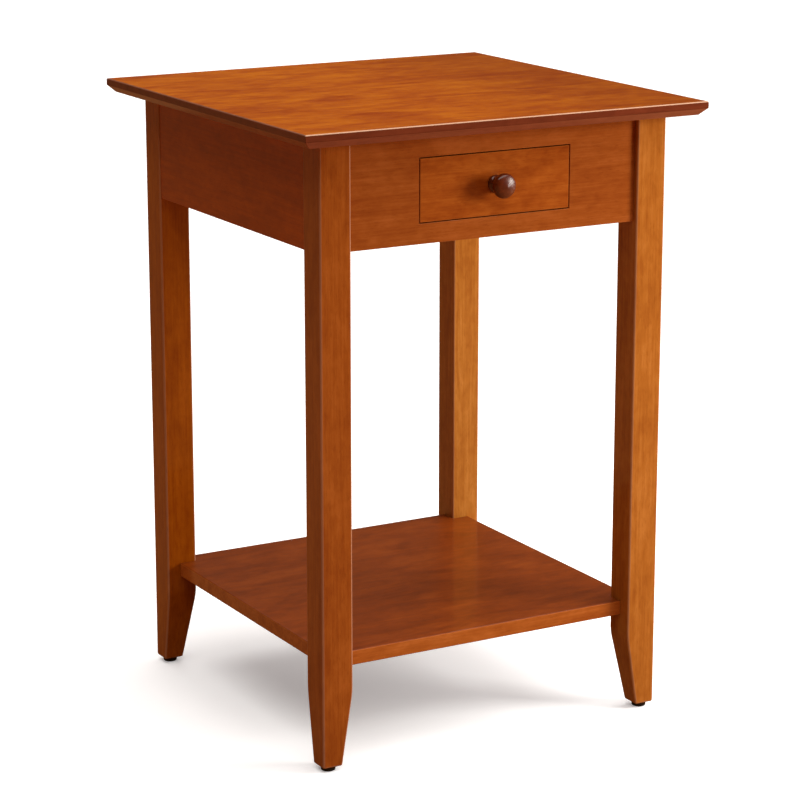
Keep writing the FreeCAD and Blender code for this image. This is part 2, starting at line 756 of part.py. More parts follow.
def make_knob():
    """A turned mushroom knob: ring, cove, waist, flare and domed head."""
    waist = "knob_neck / 2"
    head = "knob_head / 2"
    body = turned("knob_blank", [
        ("0", "0"), ("knob_base / 2", "0"), ("knob_base / 2", "knob_ring"), (waist, "knob_waist", -COVE),
        (head, "knob_edge", -FLARE), (f"{head} * {DOME_SHARE}", "knob_reach - knob_dome", QUARTER),
        ("knob_crown / 2", "knob_reach", CROWN), ("0", "knob_reach")])
    place(body, ("0", f"-{FRONT_FACE}", KNOB_LEVEL), FRONT)
    return body


def make_runner(name, sx):
    """An L-shaped rail: the drawer's side slides on its ledge and against its fence."""
    body = doc.addObject("PartDesign::Body", f"{name}_runner_blank")
    sketch = sketch_on(body, "XZ_Plane", "profile")
    low = f"({LEDGE_TOP} - ledge_thickness)"
    inner = f"({OPENING_HALF} - ledge_width)"
    outer = f"({OPENING_HALF} + fence_width)"
    high = f"({LEDGE_TOP} + fence_height)"
    profile = [(inner, low), (outer, low), (outer, high), (OPENING_HALF, high), (OPENING_HALF, LEDGE_TOP),
               (inner, LEDGE_TOP)]
    outline(sketch, [(f"{sx} * {x}", z) for x, z in profile])
    pad(body, sketch, f"{FRONT_INNER} + {BACK_INNER}")
    place(body, ("0", BACK_INNER, "0"))
    return body


def make_kicker(name, sx):
    """A rail under the top that keeps the open drawer's back end down."""
    return board(f"{name}_kicker_blank", "kicker_width", f"{FRONT_INNER} + {BACK_INNER}", "opening_drop",
                 (f"{sx} * {KICKER_MIDDLE}", f"({BACK_INNER} - {FRONT_INNER}) / 2", OPENING_TOP))


def make_stop(name, sx):
    """A block on the runner's ledge that the closed drawer comes up to."""
    y = f"{BOX_END} + stop_clearance + stop_length / 2"
    return board(f"{name}_stop", "ledge_width", "stop_length", "stop_height",
                 (f"{sx} * ({OPENING_HALF} - ledge_width / 2)", y, LEDGE_TOP))


def make_turn_button():
    """The catch inside the drawer's back: upright it meets the front apron, level it lets the drawer out."""
    body = doc.addObject("PartDesign::Body", "turn_button")
    sketch = sketch_on(body, "XZ_Plane", "outline")
    half = "(button_width / 2)"
    shoulder = f"(button_reach - {half})"
    outline(sketch, [(f"-{half}", "0"), (half, "0", HALF_TURN), (half, shoulder),
                     (f"-{half}", shoulder, HALF_TURN)])
    ring(sketch, "screw_diameter / 2 + button_clearance")
    pad(body, sketch, "button_thickness")
    place(body, ("0", f"{BACK_PANEL_FACE} - button_clearance", BUTTON_LEVEL))
    return body


# ---------------------------------------------------------------- the whole table

def make_pieces():
    """Every sub-part of the table, with the holes of its fasteners cut."""
    pieces, holes = make_fasteners()

    def keep(label, body, *fasteners):
        pieces[label] = drilled(label, body, [holes[name] for name in fasteners]) if fasteners else body

    keep("tabletop", make_tabletop(), "top_screws", "kicker_screws")
    keep("shelf", make_shelf(), "shelf_dowels")
    for number, (corner, sx, sy) in enumerate(CORNERS):
        keep(f"leg_{corner}", make_leg(corner, sx, sy, 90 * number),
             "leg_bolts", "apron_dowels", "shelf_dowels", "nails")
        keep(f"glide_{corner}", make_glide(corner, sx, sy))
        keep(f"corner_block_{corner}", make_corner_block(corner, sx, sy),
             "leg_bolts", "block_screws", "top_screws")
    keep("front_apron", make_front_apron(), "apron_dowels", "runner_dowels", "block_screws")
    back = make_apron("back_apron", f"2 * {IN_X}", "apron_thickness",
                      ("0", f"{BACK_INNER} + apron_thickness / 2", APRON_BOTTOM))
    keep("back_apron", back, "apron_dowels", "runner_dowels", "block_screws")
    for name, sx in SIDES:
        side = make_apron(f"{name}_apron", "apron_thickness", f"2 * {IN_Y}",
                          (f"{sx} * ({SIDE_INNER} + apron_thickness / 2)", "0", APRON_BOTTOM))
        keep(f"{name}_apron", side, "apron_dowels", "block_screws")
        keep(f"{name}_runner", make_runner(name, sx), "runner_dowels")
        keep(f"{name}_kicker", make_kicker(name, sx), "kicker_screws")
        keep(f"{name}_stop", make_stop(name, sx))
        keep(f"drawer_{name}_side", make_drawer_side(name, sx), "front_dowels", "back_pins")
    keep("drawer_front", make_drawer_front(), "front_dowels", "knob_screw")
    keep("drawer_back", make_drawer_back(), "back_pins", "button_screw")
    keep("drawer_bottom", make_drawer_bottom())
    keep("knob", make_knob(), "knob_screw")
    keep("turn_button", make_turn_button())
    return pieces


def check_and_write(pieces):
    """Refuse a document with a failed object or an unsound solid, then write every piece."""
    doc.recompute()
    failed = [item.Label for item in doc.Objects if "Invalid" in item.State or "Error" in item.State]
    if failed:
        raise ValueError(f"failed objects: {failed}")
    unsound = [label for label, piece in pieces.items()
               if piece.Shape.isNull() or not piece.Shape.isValid() or not piece.Shape.Solids]
    if unsound:
        raise ValueError(f"unsound pieces: {unsound}")
    os.makedirs("parts", exist_ok=True)
    for label, piece in sorted(pieces.items()):
        piece.Shape.exportStep(f"parts/{label}.step")
        print(f"{label}: {len(piece.Shape.Solids)} solids, {piece.Shape.Volume / 1000:.2f} cm3")


fill_sheet()
check_and_write(make_pieces())
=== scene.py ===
# %% [markdown]
# # A side table with a drawer
# A small square table on four tapered legs, with one drawer and a low shelf, finished in a cherry
# stain under a satin lacquer. The engineering model comes first and stays fixed: every piece that is
# made here sits on it and takes its place from it.

# %% Load the table's engineering model
import json
import math

import bpy
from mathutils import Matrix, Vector


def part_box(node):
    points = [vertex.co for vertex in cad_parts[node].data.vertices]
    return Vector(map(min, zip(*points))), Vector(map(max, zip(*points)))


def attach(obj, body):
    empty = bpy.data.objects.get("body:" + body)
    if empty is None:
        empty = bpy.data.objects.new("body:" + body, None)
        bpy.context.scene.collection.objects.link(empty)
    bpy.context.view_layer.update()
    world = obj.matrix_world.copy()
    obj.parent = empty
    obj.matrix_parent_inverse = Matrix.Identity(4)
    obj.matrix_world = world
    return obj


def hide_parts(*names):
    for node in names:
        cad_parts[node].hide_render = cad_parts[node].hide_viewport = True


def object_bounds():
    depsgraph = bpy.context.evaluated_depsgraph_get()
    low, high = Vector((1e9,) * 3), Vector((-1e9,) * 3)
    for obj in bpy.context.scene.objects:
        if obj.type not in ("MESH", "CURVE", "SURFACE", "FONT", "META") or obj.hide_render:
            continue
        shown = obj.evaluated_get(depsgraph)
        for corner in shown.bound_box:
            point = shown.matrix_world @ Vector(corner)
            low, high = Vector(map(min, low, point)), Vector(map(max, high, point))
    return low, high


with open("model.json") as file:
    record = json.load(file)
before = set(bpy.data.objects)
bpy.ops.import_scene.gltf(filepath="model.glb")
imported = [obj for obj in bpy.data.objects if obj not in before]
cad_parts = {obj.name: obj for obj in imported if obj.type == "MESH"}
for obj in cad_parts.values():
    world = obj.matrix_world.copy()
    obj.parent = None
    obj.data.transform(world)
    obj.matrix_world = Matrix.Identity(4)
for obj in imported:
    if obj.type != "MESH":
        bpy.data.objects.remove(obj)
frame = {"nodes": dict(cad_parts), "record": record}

cad_box = [list(corner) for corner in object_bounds()]
nodes = frame["nodes"]
print("engineering box:", [[round(v, 4) for v in corner] for corner in cad_box])

# %% [markdown]
# ## Camera
# A small piece of furniture looks natural from the eye height of someone standing a few steps away,
# through a long lens, which keeps its upright edges nearly parallel. The camera looks from the front
# left and a little from above. Its distance and lens are real ones.

# %% Put the camera where a person would stand
CAMERA_TURN = math.radians(-29.47)
CAMERA_TILT = math.radians(14.24)
CAMERA_DISTANCE = 2.776
CAMERA_LENS = 124.97
AIM_OFFSET = Vector((0.0001, -0.0019, -0.0064))


def add_camera():
    """A long-lens camera that looks at the middle of the table."""
    low, high = (Vector(corner) for corner in cad_box)
    aim = (low + high) / 2 + AIM_OFFSET
    back = Vector((math.sin(CAMERA_TURN) * math.cos(CAMERA_TILT),
                   -math.cos(CAMERA_TURN) * math.cos(CAMERA_TILT),
                   math.sin(CAMERA_TILT)))
    data = bpy.data.cameras.new("camera")
    data.lens = CAMERA_LENS
    camera = bpy.data.objects.new("camera", data)
    bpy.context.scene.collection.objects.link(camera)
    camera.location = aim + back * CAMERA_DISTANCE
    camera.rotation_euler = back.to_track_quat("Z", "Y").to_euler()
    bpy.context.scene.camera = camera
    return camera


camera = add_camera()
print("camera stands at", [round(v, 3) for v in camera.location])

# %% [markdown]
# ## Floor and light
# A pale floor that runs past the view on every side makes an even background. A white floor and a
# white sky would light the table from everywhere and lay a milky veil on its lacquer, so the stain
# would look grey. Studios hang black cloth round the set for that reason. Here the floor and the sky
# look pale to the eye and are dim for the table itself. The floor's look has a faint blue cast and a
# little glow of its own, which keep it white under warm lamps.
#
# Four soft lights do the rest: a wide one overhead, a panel low at the front right, which throws the
# knob's shadow to the left, a larger panel at the right, and a weak one behind, which draws the far
# edges. Low panels mirror in a lacquered top as white patches, so these two light the wood without
# showing in its gloss, as lamps do behind a polarising sheet.

# %% Lay the floor
FLOOR_SPAN = 60.0
FLOOR_LOOKS = (0.90, 0.92, 0.96)
FLOOR_GLOW = 0.3
FLOOR_GIVES = (0.26, 0.12, 0.045)


def seen_or_lit(tree, seen, lit):
    """Mix two shaders: one for what is looked at, and one for the light that it gives to others."""
    path = tree.nodes.new("ShaderNodeLightPath")
    mix = tree.nodes.new("ShaderNodeMixShader")
    tree.links.new(path.outputs["Is Camera Ray"], mix.inputs["Fac"])
    tree.links.new(lit, mix.inputs[1])
    tree.links.new(seen, mix.inputs[2])
    return mix.outputs["Shader"]


def floor_finish():
    """Matt and pale to look at, and a dull brown for the light that bounces off it."""
    material = bpy.data.materials.new("pale floor")
    material.use_nodes = True
    tree = material.node_tree
    shader = tree.nodes["Principled BSDF"]
    shader.inputs["Base Color"].default_value = (*FLOOR_LOOKS, 1)
    shader.inputs["Roughness"].default_value = 0.9
    shader.inputs["Specular IOR Level"].default_value = 0.0
    shader.inputs["Emission Color"].default_value = (1, 1, 1, 1)
    shader.inputs["Emission Strength"].default_value = FLOOR_GLOW
    dull = tree.nodes.new("ShaderNodeBsdfDiffuse")
    dull.inputs["Color"].default_value = (*FLOOR_GIVES, 1)
    mixed = seen_or_lit(tree, shader.outputs["BSDF"], dull.outputs["BSDF"])
    tree.links.new(mixed, tree.nodes["Material Output"].inputs["Surface"])
    return material


def add_floor():
    """A wide pale floor under the glides."""
    bpy.ops.object.select_all(action="DESELECT")
    bpy.ops.mesh.primitive_plane_add(size=FLOOR_SPAN, location=(0, 0, cad_box[0][2]))
    floor = bpy.context.object
    floor.name = "floor"
    floor.data.materials.append(floor_finish())


add_floor()
print("floor is", FLOOR_SPAN, "m wide")

# %% Hang the lights
LIGHT_AIM = Vector((0, 0, 0.42))
SKY_LOOKS = (0.94, 0.94, 0.94)
SKY_GIVES = (0.090, 0.036, 0.010)


def hang(name, kind, turn, tilt, distance, strength, colour, **shape):
    """A light that shines at the table from a turn and a tilt, in degrees."""
    turn, tilt = math.radians(turn), math.radians(tilt)
    back = Vector((math.sin(turn) * math.cos(tilt), -math.cos(turn) * math.cos(tilt), math.sin(tilt)))
    data = bpy.data.lights.new(name, kind)
    data.energy = strength
    data.color = colour
    for setting, number in shape.items():
        setattr(data, setting, number)
    light = bpy.data.objects.new(name, data)
    bpy.context.scene.collection.objects.link(light)
    light.location = LIGHT_AIM + back * distance
    light.rotation_euler = back.to_track_quat("Z", "Y").to_euler()
    print(f"{name}: {kind.lower()} light of strength {strength}")
    return light


def add_sky(looks, gives):
    """A sky that looks pale and gives a little warm light."""
    world = bpy.data.worlds.new("pale sky")
    world.use_nodes = True
    tree = world.node_tree
    seen = tree.nodes["Background"]
    seen.inputs["Color"].default_value = (*looks, 1)
    lit = tree.nodes.new("ShaderNodeBackground")
    lit.inputs["Color"].default_value = (*gives, 1)
    mixed = seen_or_lit(tree, seen.outputs["Background"], lit.outputs["Background"])
    tree.links.new(mixed, tree.nodes["World Output"].inputs["Surface"])
    bpy.context.scene.world = world


hang("overhead light", "SUN", turn=20, tilt=80, distance=3.0, strength=3.4,
     colour=(1.0, 0.975, 0.92), angle=math.radians(80))
panels = [hang("key panel", "AREA", turn=50, tilt=12, distance=1.5, strength=18,
               colour=(1.0, 0.96, 0.89), size=0.5),
          hang("side panel", "AREA", turn=86, tilt=8, distance=1.4, strength=13,
               colour=(1.0, 0.96, 0.90), shape="RECTANGLE", size=0.6, size_y=0.9)]
for panel in panels:
    panel.visible_glossy = False
hang("back light", "SUN", turn=160, tilt=48, distance=3.0, strength=0.35,
     colour=(1.0, 0.98, 0.95), angle=math.radians(40))
add_sky(SKY_LOOKS, SKY_GIVES)
bpy.context.scene.view_settings.view_transform = "Standard"

# %% [markdown]
# ## The cherry finish
# The wood is a plain, close-grained timber. Its colour comes from a stain: an even orange-brown, a
# little darker where the stain has soaked in, with soft cloudy figure, long fine streaks along the
# grain and tiny short pores. A picture of wood could be wrapped round each piece, but a picture
# repeats and shows its seams at the corners. Here the pattern is worked out in space instead, from
# five sizes of noise stretched along the grain, so that it runs through each board from face to face
# as it does in real timber, and end grain shows on the ends by itself.
#
# Two things break the evenness. The arrises are painted paler: partly the stain worn thin, partly a
# painted highlight. The top is painted darker towards its right side, a painted shade. Each stick
# also takes the stain a little in its own way, and several boards carry painted light, shade and
# sheen.

# %% Helpers that wire shader nodes together
def node_material(name):
    """A new material with its shader, ready for settings."""
    material = bpy.data.materials.new(name)
    material.use_nodes = True
    return material, material.node_tree, material.node_tree.nodes["Principled BSDF"]


def grain_noise(tree, stretch, shift, scale, detail, distortion=0.0):
    """Noise in space, squeezed along each axis by the stretch, moved by the shift."""
    place = tree.nodes.new("ShaderNodeTexCoord")
    mapping = tree.nodes.new("ShaderNodeMapping")
    mapping.inputs["Location"].default_value = shift
    mapping.inputs["Scale"].default_value = stretch
    noise = tree.nodes.new("ShaderNodeTexNoise")
    noise.inputs["Scale"].default_value = scale
    noise.inputs["Detail"].default_value = detail
    noise.inputs["Distortion"].default_value = distortion
    tree.links.new(place.outputs["Object"], mapping.inputs["Vector"])
    tree.links.new(mapping.outputs["Vector"], noise.inputs["Vector"])
    return noise.outputs["Fac"]


def add_up(tree, parts):
    """The weighted sum of several patterns: (socket, weight) pairs."""
    total = None
    for socket, weight in parts:
        node = tree.nodes.new("ShaderNodeMath")
        node.operation = "MULTIPLY_ADD"
        node.inputs[1].default_value = weight
        node.inputs[2].default_value = 0.0
        tree.links.new(socket, node.inputs[0])
        if total is not None:
            tree.links.new(total, node.inputs[2])
        total = node.outputs["Value"]
    return total


def ramp(tree, source, stops):
    """A colour ramp with (position, colour) stops."""
    node = tree.nodes.new("ShaderNodeValToRGB")
    elements = node.color_ramp.elements
    while len(elements) < len(stops):
        elements.new(0.5)
    for element, (position, colour) in zip(elements, stops):
        element.position = position
        element.color = (*colour, 1)
    tree.links.new(source, node.inputs["Fac"])
    return node.outputs["Color"]


def mix_colour(tree, blend, amount, under, over):
    """Lay one colour over another; the amount is a number or a socket."""
    node = tree.nodes.new("ShaderNodeMix")
    node.data_type = "RGBA"
    node.blend_type = blend
    factor, first, second = node.inputs[0], node.inputs[6], node.inputs[7]
    if isinstance(amount, float):
        factor.default_value = amount
    else:
        tree.links.new(amount, factor)
    tree.links.new(under, first)
    if isinstance(over, tuple):
        second.default_value = (*over, 1)
    else:
        tree.links.new(over, second)
    return node.outputs[2]


def spread_value(tree, source, low, high):
    """Turn a 0 to 1 pattern into a number between low and high."""
    node = tree.nodes.new("ShaderNodeMapRange")
    node.inputs["To Min"].default_value = low
    node.inputs["To Max"].default_value = high
    tree.links.new(source, node.inputs["Value"])
    return node.outputs["Result"]


def relief(tree, shader, layers):
    """Bump from several patterns: (socket, strength, distance in metres)."""
    normal = None
    for socket, strength, distance in layers:
        bump = tree.nodes.new("ShaderNodeBump")
        bump.inputs["Strength"].default_value = strength
        bump.inputs["Distance"].default_value = distance
        tree.links.new(socket, bump.inputs["Height"])
        if normal is not None:
            tree.links.new(normal, bump.inputs["Normal"])
        normal = bump.outputs["Normal"]
    tree.links.new(normal, shader.inputs["Normal"])


# %% Mix the stained woods
def along(axis, share):
    """A stretch that draws a pattern out along one axis."""
    return tuple(share if letter == axis else 1.0 for letter in "XYZ")


def toned(tones, red=1.0, green=1.0, blue=1.0):
    """The same stain on a stick of another natural colour."""
    return tuple((r * red, g * green, b * blue) for r, g, b in tones)


# Each pattern in the wood: its stretch along the grain, then its scale, detail and distortion.
CLOUDS = (0.42, 15.0, 2.0, 1.8)
WISPS = (0.20, 55.0, 3.0, 1.6)
MOTTLE = (0.60, 130.0, 3.0, 0.5)
STREAKS = (0.030, 430.0, 2.0, 0.0)
PORES = (0.09, 1600.0, 1.0, 0.0)

# How much of the clouds, wisps, mottling and streaks a board shows.
BROAD = (0.34, 0.30, 0.20, 0.16)
PLAIN = (0.26, 0.26, 0.22, 0.26)

# Where the dark, middle and light of a stain lie in the pattern, and how the pores take it.
STAIN_STOPS = (0.39, 0.50, 0.61)
PORE_STOPS = ((0.30, (0.66, 0.56, 0.50)), (0.42, (1.0, 1.0, 1.0)))
PORE_SHARE = 0.4
# The default pale colour of the arrises, as a share of the stain's light: worn stain and a painted
# highlight.
ARRIS_WEAR_AND_HIGHLIGHT_TINT = (1.4, 1.7, 2.5)


def painted_side_shade(tree, start, end, tint):
    """A painted shade: a darkening tint that comes in slowly from one X to another."""
    place = tree.nodes.new("ShaderNodeTexCoord")
    split = tree.nodes.new("ShaderNodeSeparateXYZ")
    reach = tree.nodes.new("ShaderNodeMapRange")
    reach.interpolation_type = "SMOOTHSTEP"
    reach.inputs["From Min"].default_value = start
    reach.inputs["From Max"].default_value = end
    tree.links.new(place.outputs["Object"], split.inputs["Vector"])
    tree.links.new(split.outputs["X"], reach.inputs["Value"])
    return ramp(tree, reach.outputs["Result"], [(0.0, (1.0, 1.0, 1.0)), (1.0, tint)])


def stained_wood(name, axis, tones, shift, figure=PLAIN, coat=0.45, arris=None, side_shade=None):
    """Stained, lacquered wood with its grain along an axis.

    tones are the stain's dark, middle and light. arris is the colour of the arrises, painted pale both
    for stain worn thin and as a painted highlight; the faces' own number for this brings it in. The
    side shade, if given, says from which X to which X the board is painted darker, as a painted shade,
    and by what tint.
    """
    material, tree, shader = node_material(name)
    clouds, wisps, mottle, streaks, pores = (
        grain_noise(tree, along(axis, stretch), shift, *settings)
        for stretch, *settings in (CLOUDS, WISPS, MOTTLE, STREAKS, PORES))
    pattern = add_up(tree, zip((clouds, wisps, mottle, streaks), figure))
    body = ramp(tree, pattern, list(zip(STAIN_STOPS, tones)))
    body = mix_colour(tree, "MULTIPLY", PORE_SHARE, body, ramp(tree, pores, PORE_STOPS))
    # The top is painted darker towards its right side: painted shade.
    if side_shade is not None:
        body = mix_colour(tree, "MULTIPLY", 1.0, body, painted_side_shade(tree, *side_shade))
    # Arrises are mixed towards a paler colour: worn stain and a painted highlight.
    rub_and_highlight = tree.nodes.new("ShaderNodeAttribute")
    rub_and_highlight.attribute_name = "rubbed_and_highlit"
    arris_wear_and_highlight = arris or toned(tones[-1:], *ARRIS_WEAR_AND_HIGHLIGHT_TINT)[0]
    body = mix_colour(tree, "MIX", rub_and_highlight.outputs["Fac"], body, arris_wear_and_highlight)
    tree.links.new(body, shader.inputs["Base Color"])
    tree.links.new(spread_value(tree, streaks, 0.30, 0.42), shader.inputs["Roughness"])
    shader.inputs["Specular IOR Level"].default_value = 0.12
    shader.inputs["Coat Weight"].default_value = coat
    shader.inputs["Coat Roughness"].default_value = 0.11
    shader.inputs["Coat IOR"].default_value = 1.48
    relief(tree, shader, [(pores, 0.10, 0.0003), (streaks, 0.05, 0.0008)])
    return material


TOP_TONES = ((0.36, 0.052, 0.001), (0.49, 0.100, 0.002), (0.63, 0.165, 0.004))
FRAME_TONES = ((0.285, 0.053, 0.002), (0.35, 0.074, 0.003), (0.415, 0.096, 0.005))
# The drawer face's raised blue is a painted sheen of the lacquer.
DRAWER_SHEEN_TONES = ((0.28, 0.052, 0.005), (0.375, 0.084, 0.009), (0.475, 0.124, 0.015))
EDGE_TONES = ((0.125, 0.024, 0.010), (0.160, 0.031, 0.012), (0.190, 0.038, 0.015))
# The shelf's face is painted darker than the other boards: painted shade from the top above it.
SHELF_SHADE_TONES = ((0.160, 0.027, 0.003), (0.215, 0.038, 0.004), (0.275, 0.054, 0.006))
# The bevel under the lip is painted paler and greyer: a painted reflection of the pale floor.
BEVEL_REFLECTION_TONES = ((0.26, 0.072, 0.034), (0.31, 0.088, 0.042), (0.36, 0.104, 0.050))
KNOB_TONES = ((0.075, 0.008, 0.001), (0.105, 0.013, 0.001), (0.14, 0.020, 0.002))
# The pale colour of the top's upper arris: a painted highlight at the front, a little wear elsewhere.
TOP_ARRIS_WEAR_AND_HIGHLIGHT = (0.95, 0.62, 0.42)
# The pale colour of the leg arrises: worn stain and a painted highlight.
LEG_ARRIS_WEAR_AND_HIGHLIGHT = (0.66, 0.40, 0.28)
# From which X to which X the top is painted darker, and the tint: a painted shade on its right side.
TOP_SIDE_SHADE = (-0.03, 0.21, (0.72, 0.66, 0.72))

# The front apron is painted yellower and bluer than the frame: a painted sheen of the lacquer.
FRONT_APRON_SHEEN_TONES = toned(FRAME_TONES, 1.0, 1.12, 4.0)
# The left apron is painted redder and less yellow: the hue of painted shade on that side.
LEFT_APRON_SHADE_TONES = toned(FRAME_TONES, 1.12, 0.78, 0.5)
# The shelf's edges are painted paler and bluer than its face: painted light.
SHELF_EDGE_LIGHT_TONES = toned(FRAME_TONES, 1.3, 1.6, 6.0)

top_wood = stained_wood("cherry top", "X", TOP_TONES, (1.3, 0.4, 0.2), BROAD, 0.5, side_shade=TOP_SIDE_SHADE)
edge_wood = stained_wood("cherry top edge", "X", EDGE_TONES, (0.2, 0.9, 0.1), PLAIN, 0.3, TOP_ARRIS_WEAR_AND_HIGHLIGHT)
bevel_wood = stained_wood("cherry top bevel", "X", BEVEL_REFLECTION_TONES, (0.7, 0.4, 0.6), PLAIN, 0.3)
apron_wood = {
    "front": stained_wood("cherry front apron", "X", FRONT_APRON_SHEEN_TONES, (2.1, 0.3, 0.6)),
    "back": stained_wood("cherry back apron", "X", FRAME_TONES, (4.7, 0.8, 0.1)),
    "left": stained_wood("cherry left apron", "Y", LEFT_APRON_SHADE_TONES, (0.5, 3.3, 0.9)),
    "right": stained_wood("cherry right apron", "Y", FRAME_TONES, (1.9, 5.3, 0.2)),
}
drawer_wood = stained_wood("cherry drawer front", "X", DRAWER_SHEEN_TONES, (6.1, 1.7, 0.3), BROAD)
shelf_shaded_wood = stained_wood("cherry shelf", "X", SHELF_SHADE_TONES, (7.7, 2.2, 0.8), BROAD)
shelf_lit_edge_wood = stained_wood("cherry shelf edge", "X", SHELF_EDGE_LIGHT_TONES, (7.1, 2.6, 0.3))
print("stained woods mixed:", sum("cherry" in m.name for m in bpy.data.materials))

# %% [markdown]
# ## The plain timbers and the metal inside
# The pieces that nobody sees are left unstained, as they are in a real table. The corner blocks, the
# runners and the kickers are sawn softwood, with its yellow growth rings. The drawer's box is a pale
# even hardwood under a thin sealer, and its bottom is brown fibreboard. The growth rings are bands of
# a wave, bent by noise, that lie in one direction through the board.

# %% Mix the plain timbers
def plain_timber(name, axis, early, late, ring_scale, shift, roughness):
    """Unstained wood: bands of early and late growth, fine fibres and a sawn surface."""
    material, tree, shader = node_material(name)
    place = tree.nodes.new("ShaderNodeTexCoord")
    mapping = tree.nodes.new("ShaderNodeMapping")
    mapping.inputs["Location"].default_value = shift
    mapping.inputs["Scale"].default_value = along(axis, 0.06)
    rings = tree.nodes.new("ShaderNodeTexWave")
    rings.bands_direction = "DIAGONAL"
    rings.inputs["Scale"].default_value = ring_scale
    rings.inputs["Distortion"].default_value = 3.0
    rings.inputs["Detail"].default_value = 2.0
    rings.inputs["Detail Scale"].default_value = 0.6
    tree.links.new(place.outputs["Object"], mapping.inputs["Vector"])
    tree.links.new(mapping.outputs["Vector"], rings.inputs["Vector"])
    fibres = grain_noise(tree, along(axis, 0.04), shift, 600.0, 3.0)
    stains = grain_noise(tree, along(axis, 0.5), shift, 25.0, 2.0)
    body = ramp(tree, rings.outputs["Fac"], [(0.15, early), (0.75, early), (0.95, late)])
    tint = ramp(tree, fibres, [(0.35, (0.80, 0.76, 0.70)), (0.60, (1.04, 1.03, 1.02))])
    body = mix_colour(tree, "MULTIPLY", 0.8, body, tint)
    shade = ramp(tree, stains, [(0.35, (0.86, 0.82, 0.76)), (0.60, (1.0, 1.0, 1.0))])
    body = mix_colour(tree, "MULTIPLY", 0.7, body, shade)
    tree.links.new(body, shader.inputs["Base Color"])
    sheen = spread_value(tree, fibres, roughness - 0.08, roughness + 0.1)
    tree.links.new(sheen, shader.inputs["Roughness"])
    shader.inputs["Specular IOR Level"].default_value = 0.3
    relief(tree, shader, [(fibres, 0.25, 0.0004)])
    return material


def fibreboard():
    """Pressed brown fibres, smooth and slightly mottled."""
    material, tree, shader = node_material("brown fibreboard")
    fibres = grain_noise(tree, (1, 1, 1), (0.3, 0.1, 0.7), 900.0, 4.0, 1.5)
    clouds = grain_noise(tree, (1, 1, 1), (0.9, 0.2, 0.4), 40.0, 2.0)
    pattern = add_up(tree, [(fibres, 0.7), (clouds, 0.3)])
    body = ramp(tree, pattern, [(0.36, (0.17, 0.088, 0.040)), (0.50, (0.27, 0.150, 0.075)),
                                (0.62, (0.38, 0.225, 0.120))])
    tree.links.new(body, shader.inputs["Base Color"])
    tree.links.new(spread_value(tree, fibres, 0.55, 0.75), shader.inputs["Roughness"])
    relief(tree, shader, [(fibres, 0.15, 0.0002)])
    return material


# The colours of early and late growth, and how many rings there are.
SOFTWOOD = ((0.66, 0.44, 0.22), (0.46, 0.25, 0.10), 55.0)
HARDWOOD = ((0.62, 0.45, 0.27), (0.54, 0.37, 0.20), 90.0)
SAWN, SEALED = 0.66, 0.5

softwood = {
    "X": plain_timber("softwood across", "X", *SOFTWOOD, (0.3, 0.8, 0.5), SAWN),
    "Y": plain_timber("softwood lengthways", "Y", *SOFTWOOD, (1.6, 0.2, 0.9), SAWN),
}
hardwood = {
    "X": plain_timber("hardwood across", "X", *HARDWOOD, (2.3, 0.6, 0.1), SEALED),
    "Y": plain_timber("hardwood lengthways", "Y", *HARDWOOD, (0.4, 1.9, 0.7), SEALED),
}
board_brown = fibreboard()

# %% Mix the metal and the plastics
def zinc_steel():
    """Zinc-plated steel: a faint crystal bloom, with fine wear in its shine."""
    material, tree, shader = node_material("zinc-plated steel")
    bloom = grain_noise(tree, (1, 1, 1), (0.1, 0.2, 0.3), 500.0, 2.0)
    scuffs = grain_noise(tree, (1, 1, 0.1), (0.7, 0.1, 0.2), 2500.0, 2.0)
    body = ramp(tree, bloom, [(0.35, (0.50, 0.51, 0.50)), (0.62, (0.66, 0.66, 0.63))])
    tree.links.new(body, shader.inputs["Base Color"])
    tree.links.new(spread_value(tree, scuffs, 0.22, 0.50), shader.inputs["Roughness"])
    shader.inputs["Metallic"].default_value = 1.0
    relief(tree, shader, [(scuffs, 0.08, 0.0001)])
    return material


def moulded_plastic(name, low, high, roughness):
    """Moulded plastic with a fine spark-eroded texture and a slight mottle."""
    material, tree, shader = node_material(name)
    grit = grain_noise(tree, (1, 1, 1), (0.4, 0.6, 0.1), 2200.0, 2.0)
    mottle = grain_noise(tree, (1, 1, 1), (0.2, 0.7, 0.5), 180.0, 2.0)
    tree.links.new(ramp(tree, mottle, [(0.35, low), (0.65, high)]), shader.inputs["Base Color"])
    sheen = spread_value(tree, grit, roughness - 0.1, roughness + 0.1)
    tree.links.new(sheen, shader.inputs["Roughness"])
    shader.inputs["Specular IOR Level"].default_value = 0.4
    relief(tree, shader, [(grit, 0.2, 0.0001)])
    return material


steel = zinc_steel()
black_plastic = moulded_plastic("black plastic", (0.010, 0.010, 0.010), (0.020, 0.019, 0.018), 0.5)
tan_plastic = moulded_plastic("tan plastic", (0.44, 0.36, 0.24), (0.52, 0.44, 0.31), 0.42)
print("materials in all:", len(bpy.data.materials))

# %% [markdown]
# ## How the boards are made
# Every board starts as a cube that fills the place of its engineering node. It is then cut and shaped
# in edit mode, and a bevel modifier takes the sharpness off its arrises. Real sanded edges are never
# sharp: the small radius is what catches the light as a fine bright line, and the bevel faces are
# also painted paler, partly as worn stain and partly as a painted highlight. Smooth shading across
# such an edge would also bend the light on the flat faces beside it, so the large faces are made to
# set the shading, and only the arrises look round.

# %% Helpers for shaping a board
CLOSE = 1e-6


def clear_selection():
    """Deselect every object, so that the next operator acts on the new piece alone."""
    bpy.ops.object.select_all(action="DESELECT")


